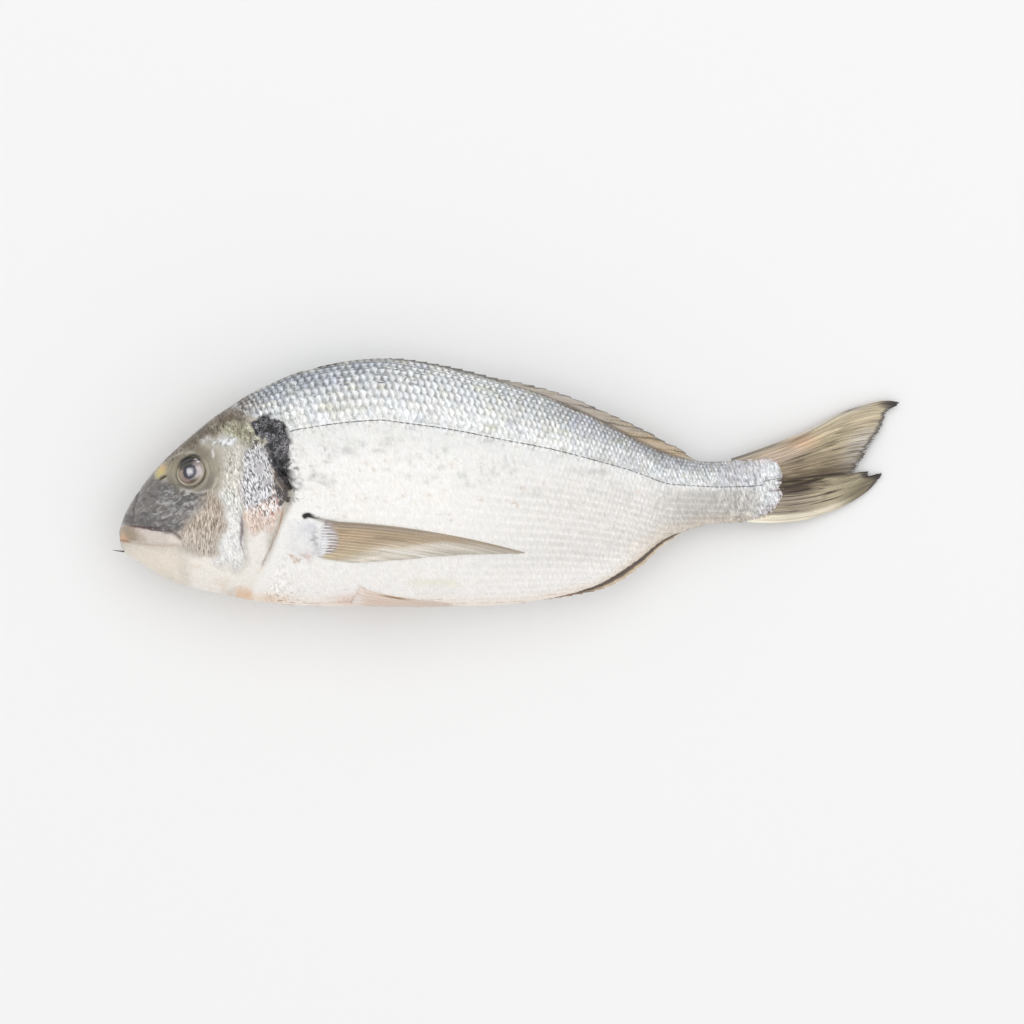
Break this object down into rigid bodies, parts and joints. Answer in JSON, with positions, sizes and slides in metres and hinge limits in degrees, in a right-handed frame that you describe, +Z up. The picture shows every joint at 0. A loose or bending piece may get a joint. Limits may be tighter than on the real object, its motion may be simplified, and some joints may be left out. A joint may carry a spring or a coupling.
{
  "type": "whole raw fish",
  "caption": "Whole raw sea bream lying on its side, with deep oval body, folded fins and a forked tail.",
  "frame": {"origin": "under the middle of the fish, on the surface it lies on", "axes": "+X from the snout to the tail, +Y from the belly to the back, +Z up through the fish from its right flank to its left"},
  "size_m": [0.3004, 0.0948, 0.0426],
  "materials": {
    "skin": "wet silver skin, darker along the back",
    "scale": "wet silver scales with a pearly sheen",
    "head": "wet bare skin, grey brown over silver and cream",
    "fin": "thin wet olive-brown web with fine rays",
    "eye": "glossy wet eye with a cloudy lens"
  },
  "bodies": {
    "root": {"fish": "skin", "left_eye": "eye", "right_eye": "eye"}
  },
  "joints": []
}
